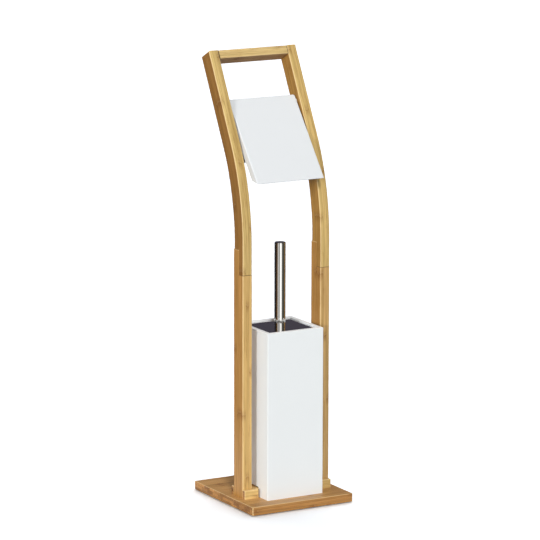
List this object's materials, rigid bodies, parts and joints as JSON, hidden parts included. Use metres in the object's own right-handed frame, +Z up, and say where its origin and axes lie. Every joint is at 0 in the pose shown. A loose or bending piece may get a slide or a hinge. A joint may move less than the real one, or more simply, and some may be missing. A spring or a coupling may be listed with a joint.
{
  "type": "toilet roll and brush stand",
  "caption": "Free-standing bamboo stand with a covered roll holder between leaning posts above and a toilet brush in a square white container below.",
  "frame": {"origin": "on the floor, under the middle of the base plate", "axes": "+Z up, -Y towards the front where the cover is lifted, +X to the right seen from the front"},
  "size_m": [0.205, 0.215, 0.8031],
  "materials": {
    "bamboo": "clear satin varnish over laminated bamboo",
    "pad_rubber": "matt",
    "beech": "plain",
    "zinc_steel": "zinc plated",
    "rod_steel": "ground",
    "white_sheet": "white powder coat, satin",
    "nylon": "natural nylon",
    "roller_black": "black, satin",
    "spring_steel": "drawn wire",
    "white_lacquer": "white satin lacquer on fibreboard",
    "cup_plastic": "plain moulded",
    "lid_steel": "mirror-polished stainless sheet",
    "polished_steel": "polished stainless",
    "brass_insert": "turned",
    "stem_plastic": "moulded white",
    "bristle": "nylon filament"
  },
  "bodies": {
    "stand": {"base_plate": "bamboo", "base_pads": "pad_rubber", "cross_board": "bamboo", "lower_post_left": "bamboo", "lower_post_right": "bamboo", "upper_post_left": "bamboo", "upper_post_right": "bamboo", "top_rail": "bamboo", "rail_dowels": "beech", "lap_screws": "zinc_steel", "post_screws": "zinc_steel", "board_screws": "zinc_steel", "cover_hinge_rod": "rod_steel", "hinge_spacers": "nylon"},
    "cover": {"roll_cover": "white_sheet"},
    "roller_sleeve": {"roller_sleeve": "roller_black", "roller_spring": "spring_steel"},
    "roller_core": {"roller_core": "roller_black"},
    "container": {"brush_container": "white_lacquer"},
    "cup": {"brush_cup": "cup_plastic"},
    "brush": {"brush_lid": "lid_steel", "brush_handle": "polished_steel", "handle_cap": "polished_steel", "handle_insert": "brass_insert", "handle_stud": "zinc_steel", "brush_stem": "stem_plastic", "bristles": "bristle"}
  },
  "joints": [
    {"name": "cover_hinge", "type": "hinge", "parent": "stand", "child": "cover", "pos_m": [0, 0.04408, 0.70651], "axis": [-1, 0, 0], "range_deg": [0, 150]},
    {"name": "roller_spin", "type": "hinge", "parent": "stand", "child": "roller_sleeve", "pos_m": [0, 0.00128, 0.623], "axis": [1, 0, 0], "continuous": true},
    {"name": "roller_press", "type": "slide", "parent": "roller_sleeve", "child": "roller_core", "axis": [-1, 0, 0], "range_m": [0, 0.008], "stiffness_N_per_m": 300, "springref_m": -0.01, "deforming": ["roller_spring"]},
    {"name": "container_lift", "type": "slide", "parent": "stand", "child": "container", "axis": [0, 0, 1], "range_m": [0, 0.025]},
    {"name": "cup_lift", "type": "slide", "parent": "stand", "child": "cup", "axis": [0, 0, 1], "range_m": [0, 0.12]},
    {"name": "brush_lift", "type": "slide", "parent": "cup", "child": "brush", "axis": [0, 0, 1], "range_m": [0, 0.14]}
  ]
}
